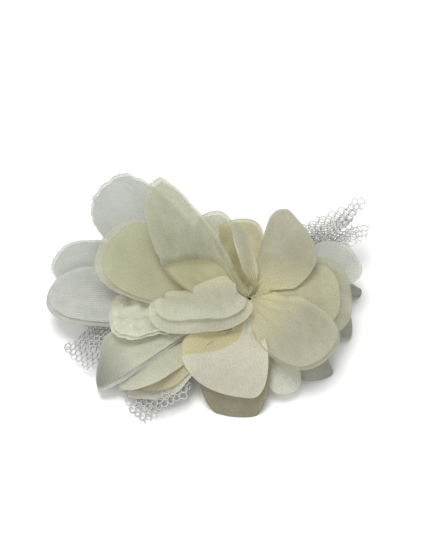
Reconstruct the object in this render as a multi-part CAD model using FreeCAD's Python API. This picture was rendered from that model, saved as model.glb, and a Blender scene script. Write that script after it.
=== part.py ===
import FreeCAD, Part
import math
import os

from FreeCAD import Rotation, Vector

# Flower hair clip: folded chiffon petals and squares of net, sewn on a felt disc, and the disc glued to a
# sprung alligator clip. It lies on its back as on a table, with the flower up. Millimetres and degrees.
# +X runs from the finger pad to the clip's mouth and +Z is up. The origin is under the middle of the whole
# piece, on the surface that it lies on.

# ---- driving dimensions -----------------------------------------------------------------------------------
FLOWER = Vector(10.75, -2.8, 0.0)      # the flower's middle, seen from above

ARM_WIDTH = 8.0
ARM_SHEET = 0.7                      # thickness of the arm's steel
ARM_TOP = 9.7
ARM_REAR_X = -21.0
ARM_TIP_X = 27.0
GLUE_THICKNESS = 0.3
FELT_RADIUS = 16.0
FELT_THICKNESS = 1.2
PATCH_X = (3.0, 18.0)
PATCH_WIDTH = 16.0
PATCH_BELOW_ARM = 0.8
PATCH_SIDE_GAP = 0.05

HINGE = Vector(-6.0, FLOWER.y, 7.0)  # axis of the clip's pin
PIN_RADIUS = 0.8
PIN_CLEARANCE = 0.05
PIN_HEAD_RADIUS = 1.5
PIN_HEAD = 0.6
ARM_EAR_RADIUS = 2.1
LEVER_EAR_RADIUS = 1.7

LEVER_WIDTH = 6.3
LEVER_SHEET = 0.6
LEVER_FLOOR = 3.2                    # underside of the jaw's floor
PAD_LENGTH = 5.0
TEETH_X = (19.4, 25.8)
TOOTH_COUNT = 5
MOUTH_GAP = 0.12                     # between the teeth and the arm when the clip is shut

SPRING_WIRE = 0.6
SPRING_RADIUS = 1.45                 # to the middle of the wire
SPRING_TURNS = 3                     # whole turns, before the part turn down to the lever's leg
SPRING_SLOPE = 19.5                  # fall of the lever's leg
SPRING_LEGS = (7.4, 5.3)

STITCH_RADIUS = 0.22
STITCH_LENGTH = 3.0
STITCH_RING = 13.4
STITCH_COUNT = 12

PETAL_SHEET = 0.5                    # a folded chiffon circle: two thicknesses with a little air
NET_SHEET = 0.35
# radius and height that the roots of each layer of petals start at, lowest layer first
LAYERS = [
    (12.5, 12.3),
    (10.5, 13.2),
    (8.0, 14.4),
    (5.5, 15.6),
    (3.5, 16.6),
]

FELT_BOTTOM = ARM_TOP + GLUE_THICKNESS
FELT_TOP = FELT_BOTTOM + FELT_THICKNESS
ARM_BOTTOM = ARM_TOP - ARM_SHEET

# ---- petals and net ---------------------------------------------------------------------------------------
# tip and start: from the flower's middle, with z from the table; a petal without a start begins on its
# layer's circle, towards its tip. arch: how far the middle of the length rises above the chord. roll: how far
# the left edge rises, seen from the root. cup: rise of the edges, as a share of the half width. sway: sideways
# bow to the left. blunt: width of the tip as a share of the width.
PETALS = [
    dict(name="petal_01_back_left", layer=1, tip=(-41.0, 35.0, 27.0), width=25, arch=-1.5, cup=0.05),
    dict(name="petal_02_left_upper", layer=0, tip=(-57.5, 21.0, 9.0), width=18, arch=1.8, cup=-0.05, roll=-4),
    dict(name="petal_03_left", layer=1, tip=(-59.5, 6.0, 12.0), width=19, arch=1.5, cup=-0.08, roll=-6),
    dict(name="petal_04_left_inner", layer=3, tip=(-44.0, 8.5, 27.0), width=23, arch=1.0, cup=0.08, roll=-28),
    dict(name="petal_05_back_twist", layer=4, tip=(-24.0, 32.5, 34.0), width=21, arch=2.5, cup=0.15, sway=4,
         blunt=0.2),
    dict(name="petal_06_left_front", layer=2, tip=(-40.5, -8.0, 15.0), width=18, arch=1.5, cup=-0.05, roll=6),
    dict(name="petal_08_front", layer=1, tip=(-3.8, -32.2, 1.2), width=23, arch=5.6, sway=2.4),
    dict(name="petal_09_right_front", layer=3, tip=(23.5, -18.5, 15.0), width=26, arch=2.0, cup=0.1, roll=12),
    dict(name="petal_10_right", layer=2, tip=(29.0, 1.8, 17.0), width=23, arch=2.0, cup=0.05, roll=14),
    dict(name="petal_11_right_back", layer=1, tip=(34.2, 14.0, 15.0), width=17, arch=2.0, cup=-0.05, roll=10),
    dict(name="petal_12_back_right", layer=3, tip=(12.5, 20.6, 31.0), width=17, arch=-2.0, cup=0.1, blunt=0.12),
    dict(name="petal_14_back_inner", layer=2, tip=(-12.5, 23.9, 26.0), width=11, arch=-2.0, cup=0.2, roll=10),
    dict(name="petal_15_back", layer=2, tip=(-1.0, 24.0, 24.0), width=13, arch=-0.5, cup=0.1, roll=12),
    dict(name="petal_16_right_low", layer=0, tip=(34.3, 15.0, 2.5), width=12, arch=3.5, cup=-0.1, roll=8),
    dict(name="petal_17_right_lower", layer=0, tip=(31.0, -3.4, 3.0), width=13, arch=3.5, cup=-0.1, roll=8),
    dict(name="petal_18_front_right", layer=0, tip=(24.2, -17.6, 1.0), width=10, arch=3.8, cup=-0.1, roll=12),
    dict(name="petal_19_front_sheer", layer=0, tip=(12.8, -26.4, 3.0), width=11, arch=3.0, cup=-0.1, roll=8),
    dict(name="petal_20_left_corner", layer=1, tip=(-43.8, -24.0, 4.0), width=19, arch=5.2, blunt=0.1),
    dict(name="petal_21_front_left", layer=0, tip=(-35.5, -24.5, 7.0), width=13, arch=3.6, cup=-0.1, roll=8),
    dict(name="petal_22_front_under", layer=0, tip=(-24.4, -25.6, 8.0), width=10, arch=2.2, cup=-0.1, roll=8),
    dict(name="petal_23_rear_right", layer=0, tip=(12.0, 28.0, 2.0), width=15, arch=3.8, cup=-0.1, roll=8),
    dict(name="petal_24_rear", layer=0, tip=(-4.0, 31.0, 0.9), width=13, arch=4.0, cup=-0.1, roll=8),
    dict(name="petal_25_rear_left", layer=0, tip=(-23.5, 28.5, 2.5), width=13, arch=3.2, cup=-0.1, roll=8),
]
FOLDED_PETALS = [
    dict(name="petal_07_over", start=(-13.2, -1.6, 19.3), tip=(-13.8, -15.0, 20.5), width=27, arch=3.0,
         cup=-0.05, blunt=0.6),
    dict(name="petal_13_fold", start=(3.6, 4.5, 16.5), tip=(-4.7, 16.7, 31.0), width=9, arch=-0.5, cup=0.3,
         roll=55),
]
NETS = [
    dict(name="net_left", start=(-8.9, -0.5, 11.4), tip=(-55.5, -7.4, 0.8), width=17, arch=4.1, blunt=0.15),
    dict(name="net_front", start=(-6.3, -6.4, 11.65), tip=(-30.0, -34.0, 0.6), width=15, arch=3.0, blunt=0.12),
    dict(name="net_back_right", start=(7.5, 7.3, 13.0), tip=(36.9, 35.3, 22.0), width=13, arch=-1.0, sway=4),
    dict(name="net_right_fold", start=(11.0, 12.0, 12.9), tip=(37.2, 26.9, 14.5), width=11, arch=0.5),
]


def smooth(x):
    x = max(0.0, min(1.0, x))
    return x * x * (3 - 2 * x)


def half_width(u, width, blunt):
    """Half the width at a share u of the length: narrow at the root, widest at two thirds, then round."""
    gathered, widest = 0.24, 0.62
    if u < widest:
        return width / 2 * (gathered + (1 - gathered) * math.sin(math.pi / 2 * u / widest))
    past = (u - widest) / (1 - widest)
    power = 2.0 if blunt > 0.3 else 1.35
    return width / 2 * (blunt + (1 - blunt) * max(0.0, 1 - past**power) ** (1 / power))


def sheet_points(root, tip, width, arch=0.0, cup=0.0, roll=0.0, sway=0.0, blunt=0.42, off=0.0):
    """Rows of points across a curved sheet from root to tip, off its middle surface by off."""
    along = Vector(tip.x - root.x, tip.y - root.y, 0).normalize()
    left = Vector(0, 0, 1).cross(along)
    bow = (root + tip) * 0.5 + Vector(0, 0, 2 * arch) + left * (2 * sway)
    rows = []
    for u in (0.0, 0.2, 0.4, 0.6, 0.78, 0.9, 0.97, 1.0):
        middle = root * (1 - u) ** 2 + bow * (2 * u * (1 - u)) + tip * u**2
        tangent = ((bow - root) * (1 - u) + (tip - bow) * u).normalize()
        turn = Rotation(tangent, roll * smooth(u / 0.6))
        up = turn.multVec(tangent.cross(left).normalize())
        side = up.cross(tangent)
        half = half_width(u, width, blunt)
        offsets = [(v * half, cup * v * v * half + off) for v in (-1, -0.5, 0, 0.5, 1)]
        rows.append([middle + side * offset + up * rise for offset, rise in offsets])
    return rows


def sheet_solid(thickness, **shape):
    """A closed solid of even thickness along the middle surface that shape describes."""
    faces = []
    for off in (thickness / 2, -thickness / 2):
        surface = Part.BSplineSurface()
        surface.interpolate(sheet_points(off=off, **shape))
        faces.append(surface.toShape())
    rims = [Part.makeRuledSurface(a, b) for a, b in zip(faces[0].Edges, faces[1].Edges)]
    solid = Part.Solid(Part.Shell([f for s in faces + rims for f in s.Faces]))
    if solid.Volume < 0:
        solid.reverse()
    return solid


def sheet(spec, thickness):
    """A petal or a corner of net, from its row in the tables."""
    shape = {key: value for key, value in spec.items() if key not in ("name", "layer", "start", "tip")}
    tip = Vector(*spec["tip"])
    if "start" in spec:
        root = Vector(*spec["start"])
    else:
        radius, height = LAYERS[spec["layer"]]
        root = Vector(tip.x, tip.y, 0).normalize() * radius + Vector(0, 0, height)
    return sheet_solid(thickness, root=FLOWER + root, tip=FLOWER + tip, **shape)


# ---- backing ----------------------------------------------------------------------------------------------
def box(x, y, z):
    """A box between pairs of limits."""
    return Part.makeBox(x[1] - x[0], y[1] - y[0], z[1] - z[0], Vector(x[0], y[0], z[0]))


def rounded_plate(x, width, z, radius):
    """A flat plate, centred on the clip's line, with rounded corners."""
    plate = box(x, (HINGE.y - width / 2, HINGE.y + width / 2), z)
    corners = [e for e in plate.Edges if abs(e.Vertexes[0].Z - e.Vertexes[-1].Z) > 1e-6]
    return plate.makeFillet(radius, corners)


def felt_base():
    disc = Part.makeCylinder(FELT_RADIUS, FELT_THICKNESS, FLOWER + Vector(0, 0, FELT_BOTTOM))
    return disc.makeFillet(0.3, [e for e in disc.Edges if e.Curve.TypeId == "Part::GeomCircle"])


def felt_patch():
    """The small felt patch that covers the arm inside the mouth, with a channel for the arm."""
    patch = rounded_plate(PATCH_X, PATCH_WIDTH, (ARM_BOTTOM - PATCH_BELOW_ARM, FELT_BOTTOM), 3.0)
    half = ARM_WIDTH / 2 + PATCH_SIDE_GAP
    x = (PATCH_X[0] - 1, PATCH_X[1] + 1)
    return patch.cut(box(x, (HINGE.y - half, HINGE.y + half), (ARM_BOTTOM, FELT_BOTTOM + 1)))


def glue():
    return rounded_plate((-5.0, 24.0), ARM_WIDTH, (ARM_TOP, FELT_BOTTOM), 1.5)


def stitches():
    """Running stitches round the underside of the felt, clear of the clip."""
    made = []
    for i in range(STITCH_COUNT):
        turn = math.radians(360 * (i + 0.5) / STITCH_COUNT)
        out = Vector(math.cos(turn), math.sin(turn), 0)
        along = Vector(-out.y, out.x, 0)
        middle = FLOWER + out * STITCH_RING + Vector(0, 0, FELT_BOTTOM - STITCH_RADIUS)
        if abs(middle.y - HINGE.y) > ARM_WIDTH / 2 + STITCH_LENGTH / 2:
            start = middle - along * (STITCH_LENGTH / 2)
            made.append(Part.makeCylinder(STITCH_RADIUS, STITCH_LENGTH, start, along))
    return Part.makeCompound(made)


# ---- clip -------------------------------------------------------------------------------------------------
def plate_of(points, y, thickness):
    """A flat plate in a vertical plane, from its outline's (x, z) points, thickness towards +Y."""
    wire = Part.makePolygon([Vector(x, y, z) for x, z in points + points[:1]])
    return Part.Face(wire).extrude(Vector(0, thickness, 0))


def across(radius, low, high):
    """A cylinder along the hinge's axis, between distances from the clip's line."""
    return Part.makeCylinder(radius, high - low, HINGE + Vector(0, low, 0), Vector(0, 1, 0))


def strip(points, width, thickness):
    """A bent strip of sheet as wide as width, above the (x, z) points of its underside."""
    upper = [(x, z + thickness) for x, z in reversed(points)]
    return plate_of(points + upper, HINGE.y - width / 2, width)


def ears(radius, outer, thickness, reach_up, reach_down):
    """A pair of ears round the pin. outer is half the distance over them."""
    made = []
    for low in (-outer, outer - thickness):
        x = (HINGE.x - radius, HINGE.x + radius)
        y = (HINGE.y + low, HINGE.y + low + thickness)
        web = box(x, y, (HINGE.z - reach_down, HINGE.z + reach_up))
        made.append(across(radius, low, low + thickness).fuse(web))
    return made


def upper_arm():
    """The flat arm that carries the flower, with its ears folded down outside the lever's."""
    plate = rounded_plate((ARM_REAR_X, ARM_TIP_X), ARM_WIDTH, (ARM_BOTTOM, ARM_TOP), ARM_WIDTH / 2 - 0.1)
    arm = plate.multiFuse(ears(ARM_EAR_RADIUS, ARM_WIDTH / 2, ARM_SHEET, ARM_TOP - HINGE.z, 0.0))
    return arm.cut(across(PIN_RADIUS + PIN_CLEARANCE, -ARM_WIDTH, ARM_WIDTH)).removeSplitter()


def tooth_line():
    """(x, z) points along the top of one side wall of the jaw, from the mouth back to the hinge."""
    top = ARM_BOTTOM - MOUTH_GAP
    pitch = (TEETH_X[1] - TEETH_X[0]) / TOOTH_COUNT
    points = [(ARM_TIP_X - 0.2, top)]
    for i in range(TOOTH_COUNT):
        right = TEETH_X[1] - i * pitch
        points += [(right, top), (right - pitch / 2, top - 0.9)]
    return points + [(TEETH_X[0], top), (TEETH_X[0] - 1.2, 6.4), (HINGE.x + LEVER_EAR_RADIUS + 1.5, 6.0)]


def lever_jaw():
    """The lower jaw with toothed side walls and ears, and the lever with its finger pad: one bent sheet."""
    pad_end = ARM_REAR_X + PAD_LENGTH
    under = [
        (ARM_REAR_X, 0.0),
        (pad_end, 0.0),
        (HINGE.x - 4.0, LEVER_FLOOR),
        (17.0, LEVER_FLOOR),
        (ARM_TIP_X - 2.0, 7.4),
        (ARM_TIP_X - 0.2, ARM_BOTTOM - MOUTH_GAP - LEVER_SHEET),
    ]
    body = strip(under, LEVER_WIDTH, LEVER_SHEET)
    rear = HINGE.x - LEVER_EAR_RADIUS
    outline = under[3:] + tooth_line() + [(rear, 6.0), (rear, LEVER_FLOOR)]
    walls = [
        plate_of(outline, HINGE.y + y, LEVER_SHEET)
        for y in (-LEVER_WIDTH / 2, LEVER_WIDTH / 2 - LEVER_SHEET)
    ]
    inner_ears = ears(LEVER_EAR_RADIUS, LEVER_WIDTH / 2, LEVER_SHEET, 0.0, HINGE.z - LEVER_FLOOR)
    jaw = body.multiFuse(walls + inner_ears)
    return jaw.cut(across(PIN_RADIUS + PIN_CLEARANCE, -LEVER_WIDTH, LEVER_WIDTH)).removeSplitter()


def hinge_pin():
    half = ARM_WIDTH / 2 + 0.02
    pin = across(PIN_RADIUS, -half - PIN_HEAD, half + PIN_HEAD)
    heads = [across(PIN_HEAD_RADIUS, low, low + PIN_HEAD) for low in (-half - PIN_HEAD, half)]
    return pin.multiFuse(heads).removeSplitter()


def spring():
    """A torsion spring round the pin: one leg under the arm, the coil, and one leg down to the lever."""
    pitch = SPRING_WIRE * 1.12
    turn = 2 * math.pi * SPRING_TURNS + math.pi - math.radians(SPRING_SLOPE)
    helix = Part.makeHelix(pitch, pitch * turn / (2 * math.pi), SPRING_RADIUS)
    climb = Vector(0, SPRING_RADIUS, pitch / (2 * math.pi)).normalize()
    first = Vector(SPRING_RADIUS, 0, 0)
    height = pitch * turn / (2 * math.pi)
    last = Vector(SPRING_RADIUS * math.cos(turn), SPRING_RADIUS * math.sin(turn), height)
    onward = Rotation(Vector(0, 0, 1), math.degrees(turn)).multVec(climb)
    path = Part.Wire(
        [Part.makeLine(first - climb * SPRING_LEGS[0], first)]
        + helix.Edges
        + [Part.makeLine(last, last + onward * SPRING_LEGS[1])]
    )
    section = Part.Circle(first - climb * SPRING_LEGS[0], climb, SPRING_WIRE / 2).toShape()
    wire = path.makePipeShell([Part.Wire(section)], True, True)
    wire.translate(Vector(0, 0, -last.z / 2))
    wire.rotate(Vector(), Vector(0, 0, 1), 90)
    wire.rotate(Vector(), Vector(1, 0, 0), 90)
    wire.rotate(Vector(), Vector(0, 0, 1), 180)
    wire.translate(HINGE)
    return wire


PARTS = {
    "upper_arm": upper_arm,
    "lever_jaw": lever_jaw,
    "hinge_pin": hinge_pin,
    "torsion_spring": spring,
    "felt_base": felt_base,
    "felt_patch": felt_patch,
    "glue_layer": glue,
    "backing_stitches": stitches,
}

os.makedirs("parts", exist_ok=True)
for name, make in PARTS.items():
    make().exportStep(f"parts/{name}.step")
for spec in PETALS + FOLDED_PETALS:
    sheet(spec, PETAL_SHEET).exportStep(f"parts/{spec['name']}.step")
for spec in NETS:
    sheet(spec, NET_SHEET).exportStep(f"parts/{spec['name']}.step")
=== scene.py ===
import math

import bmesh
import bpy
import numpy as np
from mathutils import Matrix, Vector


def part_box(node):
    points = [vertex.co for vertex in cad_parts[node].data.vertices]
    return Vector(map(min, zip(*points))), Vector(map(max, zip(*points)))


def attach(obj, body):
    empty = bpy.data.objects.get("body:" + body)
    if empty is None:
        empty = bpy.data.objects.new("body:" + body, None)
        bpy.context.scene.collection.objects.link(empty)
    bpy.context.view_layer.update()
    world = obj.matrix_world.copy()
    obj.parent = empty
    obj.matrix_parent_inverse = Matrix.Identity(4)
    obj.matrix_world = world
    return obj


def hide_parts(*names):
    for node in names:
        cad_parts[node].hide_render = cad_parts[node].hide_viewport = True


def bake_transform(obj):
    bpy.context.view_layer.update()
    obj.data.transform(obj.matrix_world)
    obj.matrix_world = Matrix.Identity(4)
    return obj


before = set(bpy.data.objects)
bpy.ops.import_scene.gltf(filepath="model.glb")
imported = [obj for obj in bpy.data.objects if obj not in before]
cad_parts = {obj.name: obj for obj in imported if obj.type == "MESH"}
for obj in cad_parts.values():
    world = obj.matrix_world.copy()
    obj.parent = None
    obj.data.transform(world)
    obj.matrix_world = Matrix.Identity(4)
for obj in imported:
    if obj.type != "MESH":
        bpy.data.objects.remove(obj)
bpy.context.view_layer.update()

MM = 0.001
PIT_HEIGHT = 0.016
ARM, LEVER = "flower_and_arm", "lever"

# ---- places from the frame ---------------------------------------------------------------------------------


def middle_of(node):
    low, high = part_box(node)
    return (low + high) / 2


FELT_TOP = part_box("felt_base")[1].z / MM
PIT = np.array([middle_of("felt_base").x, middle_of("felt_base").y, PIT_HEIGHT]) / MM


class Patch:
    """A petal's own middle surface, fitted to its CAD sheet. a runs from 0 at the root to 1 at the tip, b from
    -1 at the right edge to 1 at the left edge, and off is the distance above the surface in millimetres."""

    def __init__(self, node, toward=None, tilt=0):
        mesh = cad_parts[node].data
        co = np.array([v.co for v in mesh.vertices], float) / MM
        middle = np.array([f.center for f in mesh.polygons], float) / MM
        size = np.array([f.area for f in mesh.polygons])
        if toward is None:
            toward = co.mean(0) - PIT
        toward = np.array([toward[0], toward[1], 0.0])
        toward /= np.linalg.norm(toward)
        reach = middle @ toward
        near, far = reach < (co @ toward).min() + 1.5, reach > (co @ toward).max() - 3.0
        self.root = np.average(middle[near], axis=0, weights=size[near])
        tip = np.average(middle[far], axis=0, weights=size[far])
        self.along = (tip - self.root) / np.linalg.norm(tip - self.root)
        spread = np.linalg.eigh(np.cov((co - co.mean(0)).T))[1][:, 0]
        up = spread - (spread @ self.along) * self.along
        up /= np.linalg.norm(up)
        up = up if up[2] > 0 else -up
        turn = math.radians(tilt)
        self.up = up * math.cos(turn) + np.cross(self.along, up) * math.sin(turn)
        self.left = np.cross(self.up, self.along)
        rel = co - self.root
        a, b, off = rel @ self.along, rel @ self.left, rel @ self.up
        self.length = float(a.max())
        self.half = float(np.abs(b).max())
        self.fit = np.linalg.lstsq(self.terms(a / self.length, b / self.half), off, rcond=None)[0]

    @staticmethod
    def terms(a, b):
        return np.stack([a**0, a, b, a * a, a * b, b * b, a**3, a * a * b, a * b * b], -1)

    def bend(self, a, b):
        a, b = np.clip(a, -0.3, 1.12), np.clip(b, -1.3, 1.3)
        return self.terms(a, b) @ self.fit

    def place(self, along, left, up):
        """Points from distances in millimetres along the patch's own axes."""
        return (
            self.root
            + along[..., None] * self.along
            + left[..., None] * self.left
            + up[..., None] * self.up
        )


# ---- mesh helpers ------------------------------------------------------------------------------------------


def smooth(x):
    x = np.clip(x, 0.0, 1.0)
    return x * x * (3 - 2 * x)


def wobble(x, y, seed, wave):
    """A smooth random height, about -1 to 1, with bumps about one wave apart."""
    rng = np.random.default_rng(seed)
    total = np.zeros(np.broadcast(x, y).shape)
    for _ in range(7):
        angle = rng.uniform(0, 2 * math.pi)
        size = wave * rng.uniform(0.7, 1.8)
        phase = rng.uniform(0, 2 * math.pi)
        total = total + np.sin((x * math.cos(angle) + y * math.sin(angle)) * 2 * math.pi / size + phase)
    return total / 3.2


def curve_through(points, count):
    """Points spaced evenly on a smooth curve through the given ones (Catmull-Rom)."""
    p = np.array(points, float)
    p = np.vstack([2 * p[0] - p[1], p, 2 * p[-1] - p[-2]])
    s = np.linspace(0, len(p) - 3, 30 * len(p))
    i = np.minimum(s.astype(int), len(p) - 4)
    f = (s - i)[..., None]
    p0, p1, p2, p3 = p[i], p[i + 1], p[i + 2], p[i + 3]
    line = 0.5 * (2 * p1 + (p2 - p0) * f + (2 * p0 - 5 * p1 + 4 * p2 - p3) * f**2
                  + (3 * p1 - p0 - 3 * p2 + p3) * f**3)
    run = np.concatenate([[0], np.cumsum(np.linalg.norm(np.diff(line, axis=0), axis=1))])
    even = np.linspace(0, run[-1], count)
    return np.stack([np.interp(even, run, line[:, k]) for k in range(line.shape[1])], -1)


def object_from(name, verts, faces, uvs=None, materials=(), face_materials=None):
    """A mesh object from points in millimetres, with its UV maps by name."""
    mesh = bpy.data.meshes.new(name)
    mesh.from_pydata((np.asarray(verts, float) * MM).tolist(), [], faces)
    index = np.zeros(len(mesh.loops), int)
    mesh.loops.foreach_get("vertex_index", index)
    for label, uv in (uvs or {}).items():
        layer = mesh.uv_layers.new(name=label)
        layer.data.foreach_set("uv", np.asarray(uv, np.float32)[index].ravel())
    obj = bpy.data.objects.new(name, mesh)
    bpy.context.scene.collection.objects.link(obj)
    mesh.shade_smooth()
    for made in materials:
        mesh.materials.append(made)
    if face_materials is not None:
        mesh.polygons.foreach_set("material_index", face_materials)
    return obj


def grid_faces(rows, columns, start=0, flip=False, closed=False):
    faces = []
    for i in range(rows - 1):
        for j in range(columns if closed else columns - 1):
            k, n = start + i * columns, (j + 1) % columns
            face = (k + j, k + n, k + columns + n, k + columns + j)
            faces.append(face[::-1] if flip else face)
    return faces


def tube(points, radius, sides=4):
    """Verts and faces of a thin closed tube along points in millimetres; radius may be one per point."""
    points = np.asarray(points, float)
    radius = np.broadcast_to(radius, len(points))
    tangent = np.gradient(points, axis=0)
    tangent /= np.maximum(np.linalg.norm(tangent, axis=1, keepdims=True), 1e-9)
    side = np.cross(tangent, np.array([0.31, 0.17, 0.93]))
    side /= np.maximum(np.linalg.norm(side, axis=1, keepdims=True), 1e-9)
    over = np.cross(side, tangent)
    angle = np.arange(sides) * 2 * math.pi / sides
    ring = np.cos(angle)[None, :, None] * side[:, None] + np.sin(angle)[None, :, None] * over[:, None]
    verts = (points[:, None] + ring * radius[:, None, None]).reshape(-1, 3)
    faces = grid_faces(len(points), sides, closed=True)
    last = (len(points) - 1) * sides
    faces += [tuple(range(sides))[::-1], tuple(range(last, last + sides))]
    return verts, faces


class Bundle:
    """Collects many small meshes into one."""

    def __init__(self):
        self.verts, self.faces, self.count = [], [], 0

    def add(self, verts, faces):
        self.verts.append(verts)
        self.faces += [tuple(k + self.count for k in f) for f in faces]
        self.count += len(verts)

    def made(self, name, finish):
        return object_from(name, np.vstack(self.verts), self.faces, materials=[finish])


# ---- materials ---------------------------------------------------------------------------------------------


class Nodes:
    """A new material and short ways to add its nodes."""

    def __init__(self, name):
        self.material = bpy.data.materials.new(name)
        self.material.use_nodes = True
        self.tree = self.material.node_tree
        self.tree.nodes.clear()

    def add(self, kind, **settings):
        """A node; settings are its own settings, its sockets' values, or other nodes' outputs for sockets."""
        node = self.tree.nodes.new("ShaderNode" + kind)
        for key, value in settings.items():
            if hasattr(node, key):
                setattr(node, key, value)
                continue
            index = int(key[1:]) if key[0] == "i" and key[1:].isdigit() else key.replace("_", " ")
            if isinstance(value, bpy.types.NodeSocket):
                self.tree.links.new(value, node.inputs[index])
            else:
                node.inputs[index].default_value = value
        return node

    def math(self, operation, first, second=0.0):
        return self.add("Math", operation=operation, i0=first, i1=second).outputs[0]

    def range(self, value, low, high, to_low, to_high):
        node = self.add("MapRange", Value=value)
        for socket, number in zip(("From Min", "From Max", "To Min", "To Max"), (low, high, to_low, to_high)):
            node.inputs[socket].default_value = number
        return node.outputs["Result"]

    def mix(self, share, first, second):
        """A colour between two colours or outputs."""
        node = self.add("Mix", data_type="RGBA")
        for socket, value in ((node.inputs[0], share), (node.inputs[6], first), (node.inputs[7], second)):
            if isinstance(value, bpy.types.NodeSocket):
                self.tree.links.new(value, socket)
            else:
                socket.default_value = (*value, 1) if isinstance(value, tuple) else value
        return node.outputs[2]

    def noise(self, vector, scale, detail=3.0, distortion=0.0):
        node = self.add("TexNoise", Vector=vector, Scale=scale, Detail=detail, Distortion=distortion)
        return node.outputs["Fac"]

    def bump(self, height, strength, distance):
        return self.add("Bump", Height=height, Strength=strength, Distance=distance).outputs["Normal"]

    def finish(self, surface):
        out = self.tree.nodes.new("ShaderNodeOutputMaterial")
        self.tree.links.new(surface, out.inputs["Surface"])
        return self.material


def cloth_material(name, light, deep, root, clear, glow=0.45, rough=0.75, sheen=0.3, gloss=0.25, shimmer_and_painted_highlight=0.0,
                   crinkle=0.0, tip=None, root_reach=12.0, fade=0.0):
    """Sheer woven cloth: light scattered and let through, with gaps between the threads that stay clear, a
    denser sealed edge, and darker, denser cloth along the side folds. Towards the gathered root the colour turns
    yellower and lighter, partly for the root's extra layers and partly as painted glow of light passing between
    them. A tip colour, where given, is painted shade darkening the tip, and on glossy cloths the colour is
    lightened along the streaks as a painted highlight."""
    n = Nodes(name)
    cloth = n.add("UVMap", uv_map="cloth").outputs["UV"]
    rim = n.add("SeparateXYZ", Vector=n.add("UVMap", uv_map="rim").outputs["UV"])
    place = n.add("SeparateXYZ", Vector=cloth)
    patchy = n.noise(cloth, 0.13, 5)
    tint = n.mix(n.range(patchy, 0.32, 0.7, 0, 1), deep, light)
    # Partly painted glow: towards the root the colour turns yellower and lighter, for the gathered root's extra
    # layers of cloth and for light passing between them.
    tint = n.mix(n.range(place.outputs["X"], 0.0, root_reach, 0.9, 0.0), tint, root)
    # Painted shade: where a tip colour is given, the colour darkens towards the tip.
    if tip:
        tint = n.mix(n.range(place.outputs["X"], tip[1], tip[2], 0.0, 1.0), tint, tip[0])
    threads = []
    for direction in ("X", "Y"):
        wave = n.add("TexWave", bands_direction=direction, Vector=cloth, Scale=0.98, Distortion=1.4, Detail=2.0,
                     Detail_Scale=1.5)
        threads.append(wave.outputs["Fac"])
    weave = n.math("MULTIPLY", threads[0], threads[1])
    lines = n.noise(n.add("Mapping", Vector=cloth, Scale=(0.16, 1.9, 1.0)).outputs["Vector"], 1.0, 3)
    cross = n.noise(n.add("Mapping", Vector=cloth, Scale=(1.9, 0.16, 1.0)).outputs["Vector"], 1.0, 3)
    lines = n.math("ADD", n.math("MULTIPLY", lines, 0.6), n.math("MULTIPLY", cross, 0.4))
    slub = n.noise(cloth, 1.3, 4)
    grain = n.math("ADD", weave, slub)
    height = grain
    if crinkle:
        folds = n.noise(cloth, 0.55, 3, 1.0)
        height = n.math("ADD", grain, n.math("MULTIPLY", folds, crinkle))
    normal = n.bump(height, 0.5, 0.00022)
    streak = n.range(n.math("MULTIPLY", lines, slub), 0.18, 0.34, 0.0, 0.22)
    tint = n.mix(streak, tint, tuple(0.72 * c for c in deep))
    fleck = n.noise(cloth, 2.1, 2)
    tint = n.mix(n.range(fleck, 0.42, 0.66, 0.0, 0.30), tint, tuple(0.66 * c for c in deep))
    tint = n.mix(n.range(fleck, 0.30, 0.44, 0.22, 0.0), tint, tuple(min(1.0, 1.22 * c) for c in light))
    edge_near = n.range(rim.outputs["X"], 0.05, 0.55, 1.0, 0.0)
    fold_near = n.range(rim.outputs["Y"], 0.0, 0.35, 1.0, 0.0)
    dense = n.math("MAXIMUM", edge_near, n.math("MULTIPLY", fold_near, 0.8))
    tint = n.mix(n.math("MULTIPLY", dense, 0.55), tint, tuple(0.62 * c for c in deep))
    body = n.add("BsdfPrincipled", Base_Color=tint, Normal=normal, Roughness=rough, Sheen_Weight=sheen,
                 Sheen_Roughness=0.4, Specular_IOR_Level=gloss)
    if shimmer_and_painted_highlight:
        streaks = n.add("TexWave", bands_direction="Y", Vector=cloth, Scale=0.45, Distortion=3.0, Detail=3.0)
        glint = n.math("MULTIPLY", streaks.outputs["Fac"], n.noise(cloth, 0.35, 4))
        glint = n.range(glint, 0.3, 0.62, 0.9, 0.34)
        n.tree.links.new(glint, body.inputs["Roughness"])
        # Painted highlight: the base colour is lightened along the glossy streaks.
        n.tree.links.new(n.mix(n.math("MULTIPLY", n.range(glint, 0.34, 0.9, 1.0, 0.0), shimmer_and_painted_highlight), tint,
                               (0.86, 0.87, 0.82)), body.inputs["Base Color"])
    through = n.add("BsdfTranslucent", Color=tint, Normal=normal)
    scatter = n.add("MixShader", Fac=glow, i1=body.outputs[0], i2=through.outputs[0])
    open_share = n.range(n.math("ADD", grain, n.math("MULTIPLY", lines, 1.4)), 0.5, 2.2, min(1.0, clear * 1.7),
                         clear * 0.3)
    open_share = n.math("MULTIPLY", open_share, n.math("SUBTRACT", 1.0, n.math("MULTIPLY", dense, 0.8)))
    if fade:
        side = n.range(place.outputs["Y"], 0.0, 2.0, 0.0, 0.9)
        faded = n.math("MULTIPLY", side, n.range(rim.outputs["X"], 0.0, fade, 1.0, 0.0))
        open_share = n.math("MAXIMUM", open_share, faded)
    clear_light = n.add("BsdfTransparent", Color=(0.98, 0.975, 0.94, 1))
    whole = n.add("MixShader", Fac=open_share, i1=scatter.outputs[0], i2=clear_light.outputs[0])
    return n.finish(whole.outputs[0])


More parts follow.
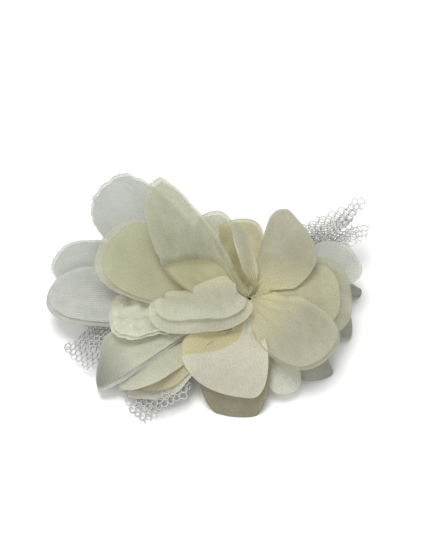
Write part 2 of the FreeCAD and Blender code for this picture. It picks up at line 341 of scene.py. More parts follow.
def thread_material(name, colour, rough=0.6, glow=0.25):
    n = Nodes(name)
    place = n.add("TexCoord").outputs["Object"]
    fibre = n.noise(place, 900, 4)
    tint = n.mix(n.range(fibre, 0.3, 0.7, 0, 1), tuple(c * 0.8 for c in colour), colour)
    normal = n.bump(fibre, 0.4, 0.00005)
    body = n.add("BsdfPrincipled", Base_Color=tint, Normal=normal, Roughness=rough, Sheen_Weight=0.2)
    through = n.add("BsdfTranslucent", Color=tint)
    return n.finish(n.add("MixShader", Fac=glow, i1=body.outputs[0], i2=through.outputs[0]).outputs[0])


def metal_material(name, colour, rough, grain_scale, stretch=(1, 1, 1)):
    """Plated or drawn steel with fine lines, light scratches and a little dullness."""
    n = Nodes(name)
    place = n.add("TexCoord").outputs["Object"]
    stretched = n.add("Mapping", Vector=place, Scale=stretch).outputs["Vector"]
    lines = n.noise(stretched, grain_scale, 6)
    cloud = n.noise(place, 160, 4)
    tint = n.mix(n.range(cloud, 0.35, 0.65, 0, 1), tuple(c * 0.84 for c in colour), colour)
    dull = n.range(n.math("ADD", cloud, n.math("MULTIPLY", lines, 0.4)), 0.4, 1.0, rough * 0.7, rough * 1.6)
    body = n.add("BsdfPrincipled", Base_Color=tint, Metallic=1.0, Roughness=dull,
                 Normal=n.bump(lines, 0.15, 0.00003))
    return n.finish(body.outputs[0])


def felt_material(name, colour):
    n = Nodes(name)
    place = n.add("TexCoord").outputs["Object"]
    fibre = n.noise(place, 1500, 8, 1.5)
    patchy = n.noise(place, 220, 3)
    both = n.math("ADD", n.math("MULTIPLY", fibre, 0.6), patchy)
    tint = n.mix(n.range(both, 0.55, 0.95, 0, 1), tuple(c * 0.72 for c in colour), colour)
    body = n.add("BsdfPrincipled", Base_Color=tint, Roughness=0.95, Sheen_Weight=0.5, Sheen_Roughness=0.6,
                 Normal=n.bump(fibre, 0.8, 0.0002))
    return n.finish(body.outputs[0])


def glue_material(name):
    n = Nodes(name)
    place = n.add("TexCoord").outputs["Object"]
    cloud = n.noise(place, 260, 3)
    tint = n.mix(n.range(cloud, 0.35, 0.7, 0, 1), (0.62, 0.58, 0.44), (0.78, 0.75, 0.62))
    body = n.add("BsdfPrincipled", Base_Color=tint, Roughness=0.22, Subsurface_Weight=0.3,
                 Subsurface_Radius=(0.0012, 0.001, 0.0006), Normal=n.bump(cloud, 0.5, 0.0003))
    return n.finish(body.outputs[0])


# The root colour here and in each cloth is partly the gathered root's extra layers and partly painted glow.
CREAM_ROOT_LAYERS_AND_GLOW = (0.86, 0.81, 0.54)
CLOTHS = {
    # The next two: greyer, darker copies of the cloth for single layers, painted shade as over a darker ground;
    # the second less so.
    "sheer": cloth_material("chiffon_sheer_painted_shade", (0.54, 0.56, 0.525), (0.47, 0.49, 0.45), (0.60, 0.59, 0.45), 0.38),
    "haze_painted_shade": cloth_material("chiffon_haze_painted_shade", (0.66, 0.675, 0.61), (0.58, 0.595, 0.53), (0.70, 0.69, 0.54), 0.34),
    # Painted light: a lighter copy of the cloth, against the shadow that petal 19 lies in.
    "mist_painted_light": cloth_material("chiffon_mist_painted_light", (0.82, 0.83, 0.73), (0.75, 0.76, 0.66), (0.78, 0.76, 0.60), 0.40),
    # Glossy streaks on this cloth carry a painted highlight.
    "shine": cloth_material("chiffon_shine", (0.66, 0.68, 0.64), (0.57, 0.59, 0.55), (0.62, 0.61, 0.47), 0.24,
                            shimmer_and_painted_highlight=0.8),
    "bright": cloth_material("chiffon_bright", (0.82, 0.81, 0.68), (0.75, 0.74, 0.60), (0.88, 0.86, 0.68), 0.24),
    "white": cloth_material("chiffon_white", (0.72, 0.715, 0.59), (0.65, 0.645, 0.51), CREAM_ROOT_LAYERS_AND_GLOW, 0.32),
    "pearl": cloth_material("chiffon_pearl", (0.60, 0.595, 0.47), (0.53, 0.525, 0.40), CREAM_ROOT_LAYERS_AND_GLOW, 0.36),
    "cream": cloth_material("chiffon_cream", (0.66, 0.65, 0.465), (0.60, 0.59, 0.41), CREAM_ROOT_LAYERS_AND_GLOW, 0.30),
    # This cloth's root tint reaches further, as painted light over the root part that petal 05 shades.
    "butter": cloth_material("chiffon_butter", (0.59, 0.585, 0.42), (0.53, 0.525, 0.36), (0.80, 0.78, 0.52),
                             0.26, root_reach=24),
    "tan": cloth_material("chiffon_tan", (0.57, 0.56, 0.44), (0.51, 0.50, 0.38), CREAM_ROOT_LAYERS_AND_GLOW, 0.30),
    "sand": cloth_material("chiffon_sand", (0.53, 0.52, 0.40), (0.47, 0.46, 0.34), CREAM_ROOT_LAYERS_AND_GLOW, 0.30),
    "gold": cloth_material("chiffon_gold", (0.62, 0.60, 0.40), (0.56, 0.54, 0.34), CREAM_ROOT_LAYERS_AND_GLOW, 0.22),
    # Painted light: a lighter, yellower copy of the cloth for petal 05's hollow, as glow of light through the
    # layers.
    "amber_painted_glow": cloth_material("chiffon_amber_painted_glow", (0.68, 0.66, 0.45), (0.62, 0.60, 0.39), (0.78, 0.75, 0.50), 0.24,
                            fade=6),
    # Glossy streaks on this cloth carry a painted highlight.
    "satin": cloth_material("chiffon_satin", (0.80, 0.795, 0.66), (0.70, 0.695, 0.55), CREAM_ROOT_LAYERS_AND_GLOW, 0.16,
                            shimmer_and_painted_highlight=0.5, crinkle=3.0),
    # Painted shade: a darker, yellower copy of the cloth for petal 08's hollow under the ledge of 07.
    "olive_painted_shade": cloth_material("chiffon_olive_painted_shade", (0.66, 0.61, 0.38), (0.61, 0.56, 0.34), (0.66, 0.60, 0.36), 0.05),
    # Painted shade: this cloth darkens towards the tip.
    "tip_painted_shade": cloth_material("chiffon_tip_painted_shade", (0.72, 0.73, 0.60), (0.66, 0.67, 0.54), CREAM_ROOT_LAYERS_AND_GLOW, 0.16,
                           tip=((0.15, 0.155, 0.14), 27, 40)),
    # Painted shade: a darker copy of the cloth for lower petals and lower layers that face down, away from the
    # light.
    "grey_painted_shade": cloth_material("chiffon_grey_painted_shade", (0.55, 0.54, 0.48), (0.46, 0.45, 0.39), (0.50, 0.48, 0.36), 0.10),
    # Painted shade: a dark copy of the cloth for petal 08's lower layer, where a shadow falls.
    "painted_shade": cloth_material("chiffon_painted_shade", (0.37, 0.345, 0.245), (0.29, 0.27, 0.18), (0.42, 0.39, 0.22), 0.06),
    # Painted shade: a browner copy of the cloth for the inside of petal 22's fold.
    "hollow": cloth_material("chiffon_hollow_painted_shade", (0.62, 0.58, 0.41), (0.55, 0.51, 0.34), (0.66, 0.61, 0.40), 0.08),
}
NET = thread_material("net_thread", (0.60, 0.605, 0.575), glow=0.3)
NET_PALE = thread_material("net_thread_pale", (0.80, 0.80, 0.77), glow=0.4)
THREAD = thread_material("sewing_thread", (0.66, 0.64, 0.52))
FELT = felt_material("felt", (0.62, 0.60, 0.47))
GLUE = glue_material("glue")
PLATED = metal_material("plated_steel", (0.80, 0.80, 0.82), 0.16, 700, (1, 14, 14))
PIN = metal_material("pin_steel", (0.66, 0.66, 0.68), 0.3, 900, (14, 1, 14))
WIRE = metal_material("spring_steel", (0.55, 0.55, 0.57), 0.28, 1200)

# ---- petals ------------------------------------------------------------------------------------------------
# Each petal is a circle of cloth folded over and gathered at its root, so it has two layers that meet at
# the side folds. LOBES: each petal's outer edge is an oval round a centre on the petal's middle line.
# reach, centre: shares of the CAD petal's length. right, left: how far it goes each side, as shares of the
# half width. square: below 1 the oval is fuller, above 1 it is more pointed. lean: how much further the
# left side reaches than the right. bumps: corners and dents, as (angle from the tip in degrees, height). A
# row that ends in _under is for the lower layer alone, and petals that have no row keep the plain oval.
LOBES = {
    "petal_01_back_left": dict(reach=1.05, right=0.8, left=1.25, square=0.75),
    "petal_02_left_upper": dict(reach=1.05, right=1.1, left=1.05, centre=0.7),
    "petal_03_left": dict(reach=1.0, right=1.0, left=1.05, centre=0.7),
    "petal_04_left_inner": dict(reach=0.95, right=1.1, left=0.7),
    "petal_05_back_twist": dict(reach=1.0, right=0.35, left=1.35, centre=0.4, square=1.05),
    "petal_06_left_front": dict(reach=0.98, right=1.4, left=0.9, centre=0.65),
    "petal_07_over": dict(reach=0.8, right=1.0, left=0.9, centre=0.4),
    "petal_08_front": dict(reach=0.75, right=1.6, left=0.5, centre=0.3, lean=0.05),
    "petal_08_front_under": dict(reach=0.95, right=1.2, left=0.55, centre=0.3, lean=-0.08),
    "petal_09_right_front": dict(reach=0.97, right=0.95, left=0.6, centre=0.5),
    "petal_10_right": dict(reach=0.88, right=1.1, left=0.8, centre=0.45),
    "petal_11_right_back": dict(reach=1.0, right=0.7, left=1.25, centre=0.65),
    "petal_12_back_right": dict(reach=1.0, right=1.6, left=0.6, centre=0.72, lean=0.1, square=1.0,
                                bumps=[(5, 0.06)]),
    "petal_13_fold": dict(reach=0.95, right=0.6, left=1.4, centre=0.45, lean=0.05),
    "petal_14_back_inner": dict(reach=1.02, right=1.3, left=1.2, centre=0.65),
    "petal_15_back": dict(reach=1.0, right=0.8, left=1.25, centre=0.65, bumps=[(60, 0.1)]),
    "petal_16_right_low": dict(reach=1.08, right=0.6, left=0.15, centre=0.75),
    "petal_17_right_lower": dict(reach=1.0, right=0.35, left=1.5, centre=0.75, bumps=[(-45, 0.15)]),
    "petal_18_front_right": dict(reach=0.97, right=1.7, left=0.45, centre=0.55, lean=0.1),
    "petal_19_front_sheer": dict(reach=0.93, right=1.1, left=0.8),
    "petal_20_left_corner": dict(reach=1.0, right=1.2, left=0.35, square=1.2, bumps=[(-65, 0.2)]),
    "petal_21_front_left": dict(reach=1.05, right=0.8, left=1.1, centre=0.75, lean=-0.1),
    "petal_22_front_under": dict(reach=1.05, right=1.8, left=0.8, centre=0.8, lean=-0.2),
}

# Creases, from right to left, between a petal's deep hollow and its lobe. The hollow's cloth is painted: shade in
# 08's hollow, glow in 05's.
STEP_05 = [(0.0, 0.0), (0.2, -0.1), (0.35, 0.4), (0.45, 1.6)]
STEP_08 = [(0.3, -1.6), (0.25, -0.8), (0.1, -0.2), (-0.2, -0.1)]

# cloth, under_cloth: material of each layer. under: how much further the lower layer reaches. shift: how
# far it is turned to the left. gap: how far the layers part at the outer edge. ruffle: (height, waves) of
# the outer edge. pleats: (height, waves) at the root. crush: (height, wave) of the creases. fray:
# raggedness of the outer edge. root: the gathered root's width, as a share of the half width. toward, tilt:
# the way the petal points and how far it is turned on its side, where its CAD sheet doesn't give them.
# over: the root rolls over the pit. crown: how far the root line bows back. step: a crease from STEP_05 or
# STEP_08, with its hollow's cloth (painted shade in 08's hollow, painted glow in 05's), its drop and the band
# that the drop takes. lift, lift_reach: how far the root part rises, and over what share of the length.
STYLES = {
    # Petals 01 and 02: painted shade, a greyer cloth for single layers.
    "petal_01_back_left": dict(cloth="sheer", gap=0.6, under=-0.8, fray=0.3),
    "petal_02_left_upper": dict(cloth="sheer", gap=0.7, under=-0.8, fray=0.2),
    # Petal 03: painted highlights along glossy streaks, and painted shade on its lower layer.
    "petal_03_left": dict(cloth="shine", under_cloth="grey_painted_shade", gap=1.0, under=0.8, shift=0.9),
    "petal_04_left_inner": dict(cloth="butter", under_cloth="pearl", gap=1.0, under=2.5),
    # Petal 05: painted glow in its hollow's cloth.
    "petal_05_back_twist": dict(cloth="pearl", gap=0.9, root=0.35, under=-1.5, fray=0.3, step=STEP_05,
                                hollow="amber_painted_glow"),
    "petal_06_left_front": dict(cloth="satin", gap=1.0, under=0.8, crush=(0.75, 3.6)),
    "petal_07_over": dict(cloth="white", gap=1.8, under=2.2, root=0.75, toward=(0, -1), over=True,
                          crown=4.2, pleats=(0.1, 2.0)),
    # Petal 08: painted shade on its lower layer, and painted shade in its hollow's cloth.
    "petal_08_front": dict(cloth="bright", under_cloth="painted_shade", gap=2.2, ruffle=(0.25, 1.2), pleats=(0.1, 5.0),
                           step=STEP_08, drop=0.7, band=0.8, lift=2.2, lift_reach=1.0, root=0.4),
    "petal_09_right_front": dict(cloth="tan", gap=1.4, under=0.6, root=0.5),
    "petal_10_right": dict(cloth="cream", under_cloth="sand", gap=1.4, under=3.5, root=0.55),
    # Petal 11: painted shade, a greyer cloth for a single layer.
    "petal_11_right_back": dict(cloth="haze_painted_shade", gap=0.8, under=-0.8),
    "petal_12_back_right": dict(cloth="sand", gap=0.6, under=-0.4, ruffle=(0.3, 1.0), root=0.5),
    "petal_13_fold": dict(cloth="white", gap=0.9, under=0.0, tilt=-60),
    "petal_14_back_inner": dict(cloth="white", gap=0.8, under=-1.0, root=0.7),
    "petal_15_back": dict(cloth="gold", gap=0.8, under=-1.0, root=0.7),
    # Petals 16 to 18: painted shade, a darker cloth for low petals that face down.
    "petal_16_right_low": dict(cloth="grey_painted_shade", gap=0.8),
    "petal_17_right_lower": dict(cloth="grey_painted_shade", gap=0.8),
    "petal_18_front_right": dict(cloth="grey_painted_shade", gap=0.8),
    # Petal 19: painted light, a lighter cloth against the shadow it lies in.
    "petal_19_front_sheer": dict(cloth="mist_painted_light", gap=0.6, under=-0.8),
    # Petal 20: painted shade darkening its tip, and painted shade on its lower layer.
    "petal_20_left_corner": dict(cloth="tip_painted_shade", under_cloth="grey_painted_shade", gap=0.7, under=0.4, shift=1.2, lift=-0.5),
    "petal_21_front_left": dict(cloth="white", gap=0.8, under=-1.0, lift=-0.9),
    # Petal 22: painted shade inside its fold.
    "petal_22_front_under": dict(cloth="hollow", under_cloth="bright", gap=1.2, under=2.5, lift=-0.9),
    "petal_23_rear_right": dict(cloth="white", gap=1.2, ruffle=(0.9, 2.0)),
    "petal_24_rear": dict(cloth="tan", gap=1.2, ruffle=(0.9, 2.0)),
    "petal_25_rear_left": dict(cloth="white", gap=1.2, ruffle=(0.9, 2.0)),
}
# Mesh rows of a petal and of its gathered tail, and mesh columns of a plain, a stepped and a frayed one.
ROWS, STEP_ROWS, TAIL_ROWS = 34, 80, 9
COLUMNS, STEP_COLUMNS, FRAY_COLUMNS = 73, 141, 181
# The folds' angle from the tip and a bump's width, in degrees.
FOLD_ANGLE, BUMP_WIDTH = 130, 14


def lobe(reach=1.0, right=1.0, left=1.0, centre=0.6, square=0.85, lean=0.0, bumps=()):
    """A petal's outer edge from its right fold to its left fold, as shares of its length and half width."""
    angle = np.linspace(-FOLD_ANGLE, FOLD_ANGLE, 61)
    ahead, side = np.cos(np.radians(angle)), np.sin(np.radians(angle))
    ahead = np.where(ahead > 0, reach - centre, centre) * np.sign(ahead) * np.abs(ahead) ** square
    side = np.where(side < 0, right, left) * np.sign(side) * np.abs(side) ** square
    grow = 1 + sum(height * np.exp(-((angle - at) / BUMP_WIDTH) ** 2) for at, height in bumps)
    return np.stack([centre + (ahead + lean * side) * grow, side * grow], -1)


def beyond(line, x, y):
    """How far points are to the root's side of a line, in millimetres: negative on its outer side."""
    line = curve_through(line, 60)
    gap = np.stack([x, y], -1)[..., None, :] - line
    near = np.argmin((gap**2).sum(-1), -1)
    heading = np.gradient(line, axis=0)
    heading /= np.linalg.norm(heading, axis=1, keepdims=True)
    side = np.take_along_axis(gap, near[..., None, None], -2)[..., 0, :]
    return heading[near][..., 0] * side[..., 1] - heading[near][..., 1] * side[..., 0]


def petal(name, cloth, under_cloth=None, under=0.8, shift=0.0, gap=1.0, ruffle=(0.5, 2.0), pleats=(0.3, 5.0),
          crush=(0.3, 9.0), fray=0.0, toward=None, tilt=0, root=0.2, over=False, step=None, hollow="olive_painted_shade",
          drop=2.6, band=3.0, lift=0.0, lift_reach=0.65, crown=0.0):
    """One folded petal: its two layers, and the gathered tail that runs down to the felt."""
    patch = Patch(name, toward, tilt)
    seed = sum(map(ord, name))
    edge = lobe(**LOBES.get(name, {}))
    columns = FRAY_COLUMNS if fray else STEP_COLUMNS if step else COLUMNS
    sheet_rows = STEP_ROWS if step else ROWS
    outer = curve_through(edge * [patch.length, patch.half], columns)
    v = np.linspace(-1, 1, columns)
    if fray:
        run = np.linspace(0, 60, columns)
        rough = wobble(run, 0 * run, seed, 1.3) + 0.6 * wobble(run, 0 * run, seed + 1, 0.7)
        outer *= (1 + fray / patch.length * rough * smooth(3 - 3 * np.abs(v)))[:, None]
    crest = crown * smooth((v + 0.9) / 1.5) * (1 - 0.6 * smooth((v - 0.7) / 0.3))
    round_fold = np.sqrt(np.maximum(0, 1 - v**2))
    out = patch.root - PIT
    out = np.array([out[0], out[1], 0]) / np.linalg.norm(out[:2])
    deep = 0.7 + 0.13 * max(0.0, 17.0 - patch.root[2])
    end = np.array([PIT[0], PIT[1], min(FELT_TOP + 4.4, patch.root[2] + 0.3)]) + out * deep
    turn = patch.root + patch.up * lift - patch.along * 0.45 * np.linalg.norm(patch.root - end)
    if over:
        turn = patch.root + patch.up * 1.5 - patch.along * 3.0
    verts, faces, cloth_uv, rim_uv, finishes = [], [], [], [], []
    for layer in (0, 1):
        reach = outer.copy()
        if layer and name + "_under" in LOBES:
            reach = curve_through(lobe(**LOBES[name + "_under"]) * [patch.length, patch.half], columns)
        elif layer:
            size = np.linalg.norm(reach, axis=1)[:, None]
            reach = reach * (1 + under * np.minimum(1, 1.6 * round_fold)[:, None] / size)
            reach[:, 1] += shift * round_fold
        u = np.linspace(0, 1, sheet_rows)[:, None]
        start = root * patch.half * v
        along = reach[None, :, 0] * u - crest * (1 - u) ** 2
        left = start * (1 - u) + reach[None, :, 1] * u
        off = ruffle[0] * smooth((u - 0.35) / 0.65) * np.sin(math.pi * ruffle[1] * v + seed)
        off = off + pleats[0] * (1 - u) ** 2 * np.sin(math.pi * pleats[1] * v + seed)
        off = off + crush[0] * wobble(along, left, seed, crush[1]) * smooth(u * 3)
        off = off + 0.12 * wobble(along, left, seed + 5 + layer, 4.0) * smooth(u * 3)
        off = off - layer * (0.3 + (gap - 0.3) * smooth(u * 1.2)) * round_fold
        if step:
            low = beyond(np.array(step) * [patch.length, patch.half], along, left)
            off = off - drop * smooth(0.5 + low / band) * smooth(np.hypot(along, left) / 12)
        off = off + patch.bend(along / patch.length, left / patch.half)
        off = off + lift * smooth(1 - along / (lift_reach * patch.length))
        sheet = patch.place(along, left, off)
        sheet[..., 2] = np.maximum(sheet[..., 2], 0.15 + 0.1 * (1 - layer))
        t = np.linspace(1, 0, TAIL_ROWS, endpoint=False)[:, None, None]
        across = sheet[0] - sheet[0].mean(0)
        narrow = min(1.0, 2.2 / (root * patch.half))
        middle = (1 - t) ** 2 * sheet[0].mean(0) + 2 * t * (1 - t) * turn + t**2 * end
        tail = middle + across * (1 - (1 - narrow) * smooth(t))
        verts.append(np.concatenate([tail, sheet]).reshape(-1, 3))
        rows = sheet_rows + TAIL_ROWS
        new = grid_faces(rows, columns, layer * rows * columns, flip=bool(layer))
        faces += new
        # Faces inside the crease take the hollow's cloth: painted shade in 08's hollow, painted glow in 05's.
        if step and not (layer and under_cloth):
            inner = np.concatenate([np.repeat(low[:1], TAIL_ROWS, axis=0), low]) > 0.3
            finishes += [2 if inner.flat[f[0] - layer * rows * columns] else 0 for f in new]
        else:
            finishes += [layer if under_cloth else 0] * len(new)
        back = -np.linalg.norm(tail[:, columns // 2] - tail[-1, columns // 2], axis=-1)[:, None]
        cloth_uv.append(np.concatenate([
            np.stack(np.broadcast_arrays(back, start[None] + 40 * layer), -1),
            np.stack(np.broadcast_arrays(along + 12 * over, left + 40 * layer), -1)]).reshape(-1, 2))
        size = np.linalg.norm(reach, axis=1)[None]
        to_edge, to_fold = size * (1 - u), (1 - np.abs(v))[None] * size * 1.2 * u + 0.4 * (1 - u)
        rim_uv.append(np.concatenate([
            np.broadcast_to([9.0, 9.0], (TAIL_ROWS, columns, 2)),
            np.stack(np.broadcast_arrays(to_edge, to_fold), -1)]).reshape(-1, 2))
    finish = [CLOTHS[cloth], CLOTHS[under_cloth or cloth]] + ([CLOTHS[hollow]] if step else [])
    obj = object_from(name + "_cloth", np.vstack(verts), faces,
                      {"cloth": np.vstack(cloth_uv), "rim": np.vstack(rim_uv)}, finish, finishes)
    mesh = bmesh.new()
    mesh.from_mesh(obj.data)
    bmesh.ops.remove_doubles(mesh, verts=mesh.verts, dist=0.01 * MM)
    mesh.to_mesh(obj.data)
    mesh.free()
    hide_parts(name)
    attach(obj, ARM)


for node, style in STYLES.items():
    petal(node, **style)

# ---- net ---------------------------------------------------------------------------------------------------
CELL = 1.9
# outline: the corners of the cut net, from right to left, as shares of the CAD net's length and half width.
NETS = {
    "net_left": dict(layers=2,
                     outline=[(0.6, -0.5), (0.85, -0.9), (0.85, -0.3), (1.0, -0.1), (0.95, 0.4), (0.85, 1.4),
                              (0.65, 1.6)]),
    "net_front": dict(outline=[(0.7, -1.8), (0.85, -1.9), (1.0, -0.9), (1.0, 0.0), (0.85, 0.45), (0.65, 0.8),
                               (0.5, 0.4)]),
    "net_back_right": dict(thread=NET_PALE, radius=0.17, layers=5,
                           outline=[(0.35, 0.2), (0.7, -0.45), (0.95, -0.5), (0.97, 0.0), (0.8, 0.2),
                                    (0.65, 0.65), (0.4, 1.05)]),
    "net_right_fold": dict(thread=NET_PALE, radius=0.17, layers=4,
                           outline=[(0.2, 0.0), (0.5, 0.2), (0.75, -0.45), (0.85, 0.15), (0.95, -0.55),
                                    (1.1, 0.4), (0.85, 0.9), (0.6, 1.5), (0.3, 1.5)]),
}


def inside(outline, x, y):
    """Which points are inside a closed outline."""
    found = np.zeros(len(x), bool)
    for (x0, y0), (x1, y1) in zip(outline, np.roll(outline, -1, 0)):
        cross = ((y0 > y) != (y1 > y)) & (x < (x1 - x0) * (y - y0) / (y1 - y0 + 1e-12) + x0)
        found ^= cross
    return found


def net(name, outline, thread=NET, radius=0.21, layers=3):
    """A cut piece of hexagonal net, as loose layers of thin threads that are slightly turned to each other."""
    patch = Patch(name)
    seed = sum(map(ord, name))
    outline = np.vstack([[0, -0.3], outline, [0, 0.3]]) * [patch.length, patch.half]
    side = CELL / math.sqrt(3)
    bundle = Bundle()
    for layer in range(layers):
        angle = 0.05 * layer + 0.3 * (seed % 3)
        turn = np.array([[math.cos(angle), -math.sin(angle)], [math.sin(angle), math.cos(angle)]])
        corners, edges = {}, set()
        reach = int(1.5 * patch.length / side)
        for i in range(-reach, reach):
            for j in range(-reach, reach):
                x, y = i * 1.5 * side, (j + 0.5 * (i % 2)) * CELL
                ring = []
                for k in range(6):
                    around = k * math.pi / 3
                    point = (round(x + side * math.cos(around), 2), round(y + side * math.sin(around), 2))
                    ring.append(corners.setdefault(point, len(corners)))
                edges |= {tuple(sorted((ring[k], ring[(k + 1) % 6]))) for k in range(6)}
        flat = np.array(list(corners)) @ turn.T + [0.35 * layer, 0.25 * layer]
        keep = inside(outline * (1 - 0.06 * layer), flat[:, 0], flat[:, 1])
        flat = flat + 0.16 * np.stack([wobble(flat[:, 0], flat[:, 1], seed + k, 3.0) for k in (1, 2)], -1)
        off = 0.5 * wobble(flat[:, 0], flat[:, 1], seed, 9.0) - 0.5 * layer
        off = off + patch.bend(flat[:, 0] / patch.length, flat[:, 1] / patch.half)
        points = patch.place(flat[:, 0], flat[:, 1], off)
        points[:, 2] = np.maximum(points[:, 2], radius + 0.1)
        for p, q in sorted(edges):
            if keep[p] and keep[q]:
                bundle.add(*tube([points[p], points[q]], radius))
    obj = bundle.made(name + "_mesh", thread)
    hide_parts(name)
    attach(obj, ARM)


for node, style in NETS.items():
    net(node, **style)

# ---- backing and clip --------------------------------------------------------------------------------------


def plate(name, centre, rim, low, high, finish, count=160):
    """A flat soft piece with a round edge. rim is its radius at each of count angles, and low and high give the
    heights of its underside and top from x and y."""
    around = np.linspace(0, 2 * math.pi, count, endpoint=False)
    shares = [0.02, 0.2, 0.35, 0.5, 0.65, 0.78, 0.88, 0.96, 1.0]
    profile = [(share, 0.0) for share in shares[:-1]] + [(1.0, 0.3), (1.0, 0.7)]
    profile += [(share, 1.0) for share in shares[-2::-1]]
    rings = []
    for share, level in profile:
        x, y = centre[0] + rim * share * np.cos(around), centre[1] + rim * share * np.sin(around)
        bottom, top = low(x, y), high(x, y)
        rings.append(np.stack([x, y, bottom + level * (top - bottom)], -1))
    verts = np.array(rings).reshape(-1, 3)
    faces = grid_faces(len(rings), count, closed=True)
    faces += [tuple(range(count))[::-1], tuple(range(len(verts) - count, len(verts)))]
    return object_from(name, verts, faces, materials=[finish])


def rounded(half_x, half_y, power, count=160):
    """The radius of a rectangle with round corners at each angle."""
    around = np.linspace(0, 2 * math.pi, count, endpoint=False)
    return (np.abs(np.cos(around) / half_x) ** power + np.abs(np.sin(around) / half_y) ** power) ** (-1 / power)


def box_mm(node):
    """A node's lowest and highest corners, middle and half size in millimetres."""
    low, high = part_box(node)
    low, high = np.array(low) / MM, np.array(high) / MM
    return low, high, (low + high) / 2, (high - low) / 2


def felt_disc():
    """The round felt that the petals are sewn to: soft edge, slightly uneven thickness."""
    low, high, centre, half = box_mm("felt_base")
    radius = half[0]
    around = np.linspace(0, 2 * math.pi, 160, endpoint=False)
    rim = radius - 0.25 + 0.1 * np.sin(3 * around + 1) + 0.12 * wobble(around * radius, 0 * around, 4, 3.0)
    obj = plate("felt_disc", centre, rim, lambda x, y: low[2] + 0.02 * wobble(x, y, 9, 4.0),
                lambda x, y: high[2] + 0.04 * wobble(x, y, 8, 4.0), FELT)
    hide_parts("felt_base")
    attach(obj, ARM)


def felt_cover():
    """The felt patch over the arm: it lies under the arm and its two sides rise to the felt disc."""
    low, high, centre, half = box_mm("felt_patch")
    arm = box_mm("upper_arm")

    def rise(y):
        return smooth((np.abs(y - centre[1]) - arm[3][1] - 0.1) / 2.0)

    def bottom(x, y):
        return low[2] + (high[2] - low[2] - 0.9) * rise(y) + 0.04 * wobble(x, y, 12, 3.0)

    def top(x, y):
        return low[2] + 0.78 + (high[2] - low[2] - 0.8) * rise(y)

    around = np.linspace(0, 2 * math.pi, 160, endpoint=False)
    rim = rounded(half[0], half[1], 4.5) - 0.1 + 0.1 * wobble(around * half[0], 0 * around, 14, 2.5)
    obj = plate("felt_cover", centre, rim, bottom, top, FELT)
    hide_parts("felt_patch")
    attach(obj, ARM)


def glue_spread():
    """Hot glue between the arm and the felt, squeezed out a little along the arm's sides."""
    low, high, centre, half = box_mm("glue_layer")
    around = np.linspace(0, 2 * math.pi, 320, endpoint=False)
    rim = rounded(half[0], half[1], 5, 320)
    rim = rim + 0.12 + 0.22 * wobble(rim * np.cos(around), rim * np.sin(around), 21, 4.0)
    obj = plate("glue_spread", centre, rim,
                lambda x, y: low[2] - 0.12 * smooth(np.abs(y - centre[1]) - half[1] + 0.6),
                lambda x, y: high[2] + 0 * x, GLUE, 320)
    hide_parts("glue_layer")
    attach(obj, ARM)


def stitch_threads():
    """Each running stitch as two plies twisted together, its ends going up into the felt."""
    source = bmesh.new()
    source.from_mesh(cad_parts["backing_stitches"].data)
    source.verts.ensure_lookup_table()
    left = set(range(len(source.verts)))
    bundle = Bundle()
    while left:
        island, queue = [], [left.pop()]
        while queue:
            island.append(queue.pop())
            for edge in source.verts[island[-1]].link_edges:
                other = edge.other_vert(source.verts[island[-1]]).index
                if other in left:
                    left.discard(other)
                    queue.append(other)
        co = np.array([source.verts[k].co for k in island]) / MM
        middle = (co.max(0) + co.min(0)) / 2
        heading = np.linalg.eigh(np.cov((co - co.mean(0)).T))[1][:, 2]
        reach = np.abs((co - middle) @ heading).max()
        side = np.cross(heading, [0, 0, 1])
        s = np.linspace(-1, 1, 40)
        for phase in (0.0, math.pi):
            twist = 7.0 * s + phase
            line = (middle + heading * (s * reach)[:, None] + side * (0.1 * np.cos(twist))[:, None]
                    + np.array([0, 0, 1.0]) * (0.1 * np.sin(twist) + 0.45 * s**6)[:, None])
            bundle.add(*tube(line, 0.12, 6))
    source.free()
    obj = bundle.made("stitch_threads", THREAD)
    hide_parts("backing_stitches")
    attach(obj, ARM)


# The spring's wire radius, coil radius, rise per turn, turn from leg to leg, and legs' lengths.
WIRE_RADIUS, COIL_RADIUS, COIL_PITCH = 0.3, 1.45, 0.672
COIL_TURN = 2 * math.pi * 3 + math.pi - math.radians(19.5)
ARM_LEG, LEVER_LEG = 7.4, 5.3


def spring():
    """The torsion spring round the pin, its upper leg under the arm and its lower leg by the lever."""
    hinge = np.array(middle_of("hinge_pin")) / MM
    rise = COIL_PITCH / (2 * math.pi)
    turn = np.linspace(0, COIL_TURN, 260)
    coil = np.stack([COIL_RADIUS * np.sin(turn), rise * turn, COIL_RADIUS * np.cos(turn)], -1)
    ends = []
    for angle in (0.0, COIL_TURN):
        heading = np.array([COIL_RADIUS * math.cos(angle), rise, -COIL_RADIUS * math.sin(angle)])
        ends.append(heading / np.linalg.norm(heading))
    first = coil[0] - ends[0] * np.linspace(ARM_LEG, 0, 24, endpoint=False)[:, None]
    last = coil[-1] + ends[1] * np.linspace(0, LEVER_LEG, 20)[1:, None]
    path = np.vstack([first, coil, last]) - [0, rise * COIL_TURN / 2, 0] + hinge
    radius = np.full(len(path), WIRE_RADIUS)
    radius[[0, -1]] = WIRE_RADIUS * 0.7
    obj = object_from("spring_coil", *tube(path, radius, 12), materials=[WIRE])
    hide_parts("torsion_spring")
    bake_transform(obj)


felt_disc()
felt_cover()
glue_spread()
stitch_threads()
spring()
for node, finish in {"upper_arm": PLATED, "lever_jaw": PLATED, "hinge_pin": PIN}.items():
    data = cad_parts[node].data
    data.materials.clear()
    data.materials.append(finish)

# ---- room, light and camera --------------------------------------------------------------------------------


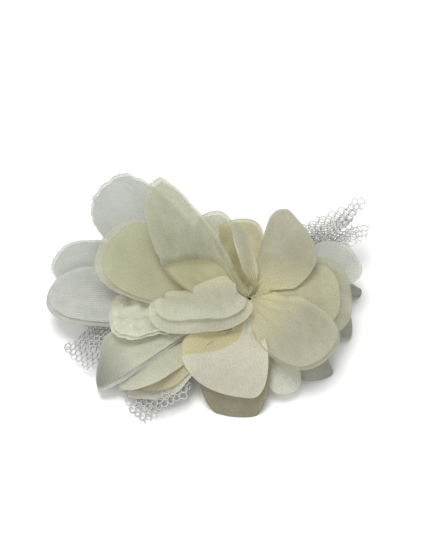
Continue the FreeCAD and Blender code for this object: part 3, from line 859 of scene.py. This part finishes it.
def floor():
    mesh = bpy.data.meshes.new("floor")
    mesh.from_pydata([(-3, -3, 0), (3, -3, 0), (3, 3, 0), (-3, 3, 0)], [], [(0, 1, 2, 3)])
    obj = bpy.data.objects.new("floor", mesh)
    bpy.context.scene.collection.objects.link(obj)
    n = Nodes("floor")
    paint = n.add("BsdfPrincipled", Base_Color=(0.76, 0.76, 0.755, 1), Roughness=0.9)
    mesh.materials.append(n.finish(paint.outputs[0]))


def lamp(name, place, target, size, power):
    data = bpy.data.lights.new(name, "AREA")
    data.shape = "DISK"
    data.size = size
    data.energy = power
    obj = bpy.data.objects.new(name, data)
    obj.location = place
    obj.rotation_euler = (Vector(target) - Vector(place)).to_track_quat("-Z", "Y").to_euler()
    bpy.context.scene.collection.objects.link(obj)


floor()
lamp("overhead", (-0.12, -0.05, 1.15), (0, 0, 0.01), 0.5, 9.5)
lamp("front_fill", (-0.5, -0.9, 0.7), (0, 0, 0), 0.9, 6.0)
world = bpy.data.worlds.new("room")
world.use_nodes = True
world.node_tree.nodes["Background"].inputs["Color"].default_value = (0.98, 0.99, 1.0, 1)
world.node_tree.nodes["Background"].inputs["Strength"].default_value = 0.74
bpy.context.scene.world = world
bpy.context.scene.view_settings.view_transform = "Standard"
bpy.context.scene.cycles.transparent_max_bounces = 32

# The camera's height angle, its distance, and how far left of and above the pit it aims, in metres.
ELEVATION = math.radians(50)
DISTANCE = 0.42
AIM_LEFT, AIM_ABOVE = 0.00977, 0.00858
camera = bpy.data.cameras.new("camera")
camera.lens = 95
camera.clip_start, camera.clip_end = 0.02, 20
eye = bpy.data.objects.new("camera", camera)
bpy.context.scene.collection.objects.link(eye)
back = Vector((0, -math.cos(ELEVATION), math.sin(ELEVATION)))
right, up = Vector((1, 0, 0)), Vector((0, math.sin(ELEVATION), math.cos(ELEVATION)))
aim = Vector(PIT.tolist()) * MM - right * AIM_LEFT + up * AIM_ABOVE
eye.location = aim + back * DISTANCE
eye.rotation_mode = "QUATERNION"
eye.rotation_quaternion = (-back).to_track_quat("-Z", "Y")
bpy.context.scene.camera = eye
